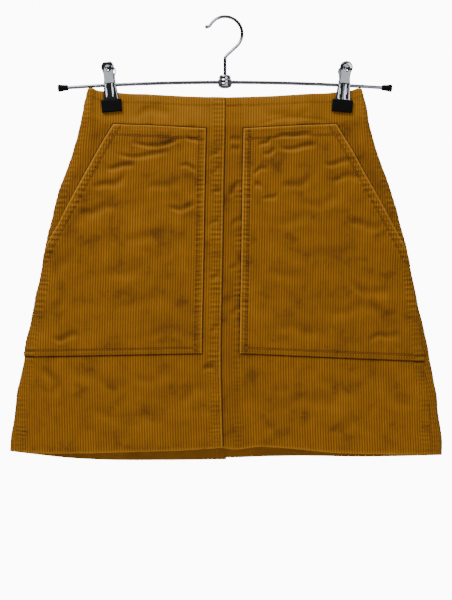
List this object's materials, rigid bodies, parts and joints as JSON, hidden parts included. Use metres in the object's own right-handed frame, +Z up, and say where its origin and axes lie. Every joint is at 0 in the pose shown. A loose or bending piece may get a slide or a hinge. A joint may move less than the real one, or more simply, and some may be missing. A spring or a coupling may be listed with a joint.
{
  "type": "a-line skirt on a clip hanger",
  "caption": "Short a-line corduroy skirt with slanted patch pockets and a lapped front seam, held flat by its waist on a bowed clip hanger.",
  "frame": {"origin": "The inside of the hook, where a rail touches it, above the middle of the bar.", "axes": "+Z is up, the front of the skirt faces -Y, and the wearer's left is +X."},
  "size_m": [0.5421, 0.0522, 0.5624],
  "materials": {
    "corduroy": "ochre cotton corduroy, soft raised wales, matt",
    "zip_tape": "ochre woven tape, matt",
    "zip_metal": "ochre paint on metal, satin",
    "chrome": "bright chrome plate",
    "rubber": "black rubber, satin"
  },
  "bodies": {
    "garment": {"front_left": "corduroy", "front_right": "corduroy", "back_left": "corduroy", "back_right": "corduroy", "pocket_left": "corduroy", "pocket_right": "corduroy", "zip_tape_left": "zip_tape", "zip_tape_right": "zip_tape", "zip_slider": "zip_metal", "hook": "chrome", "hub": "chrome", "rod": "chrome", "end_cap_left": "rubber", "end_cap_right": "rubber", "clip_left_front_lever": "chrome", "clip_left_back_lever": "chrome", "clip_left_front_pad": "rubber", "clip_left_back_pad": "rubber", "clip_left_spring": "chrome", "clip_right_front_lever": "chrome", "clip_right_back_lever": "chrome", "clip_right_front_pad": "rubber", "clip_right_back_pad": "rubber", "clip_right_spring": "chrome"},
    "zip_pull": {"zip_pull": "zip_metal"}
  },
  "joints": [
    {"name": "zip_pull_hinge", "type": "hinge", "parent": "garment", "child": "zip_pull", "pos_m": [0, 0.0132, -0.108], "axis": [1, 0, 0], "range_deg": [0, 170]}
  ]
}
